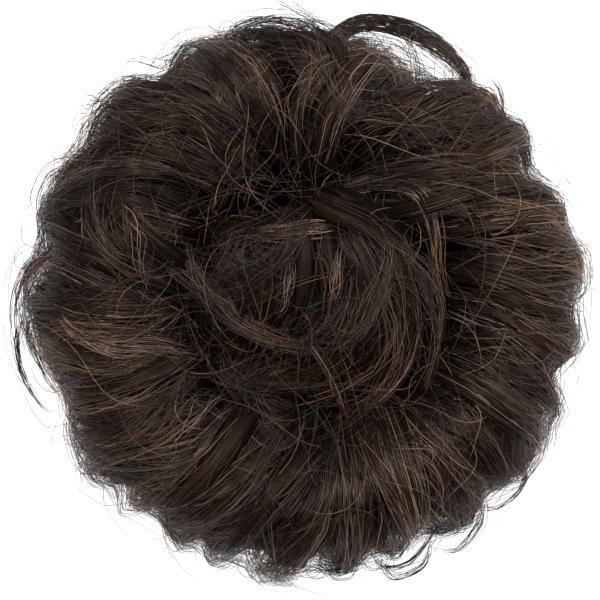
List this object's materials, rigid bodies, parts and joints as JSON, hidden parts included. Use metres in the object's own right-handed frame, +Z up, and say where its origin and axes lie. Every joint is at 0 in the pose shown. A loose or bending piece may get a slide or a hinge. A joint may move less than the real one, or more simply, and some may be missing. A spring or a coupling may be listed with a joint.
{
  "type": "top knot hairpiece",
  "caption": "Round messy top knot hairpiece: curled locks of false hair stitched round an elastic loop in a sewn casing, worn over a gathered bun or ponytail.",
  "frame": {"origin": "centre of the elastic loop, on the surface that the casing and the rim weft lie on", "axes": "+Z up from that surface, along the loop's axis; +X to the right and +Y to the top of the picture, seen from above"},
  "size_m": [0.148, 0.148, 0.0556],
  "materials": {
    "hair": "dark brown false hair in fine glossy strands",
    "casing": "gathered dark brown knit casing",
    "elastic": "dark braided elastic"
  },
  "bodies": {
    "root": {"elastic_band": "elastic", "band_casing": "casing", "rim_locks": "hair", "crown_locks": "hair", "centre_locks": "hair"}
  },
  "joints": []
}
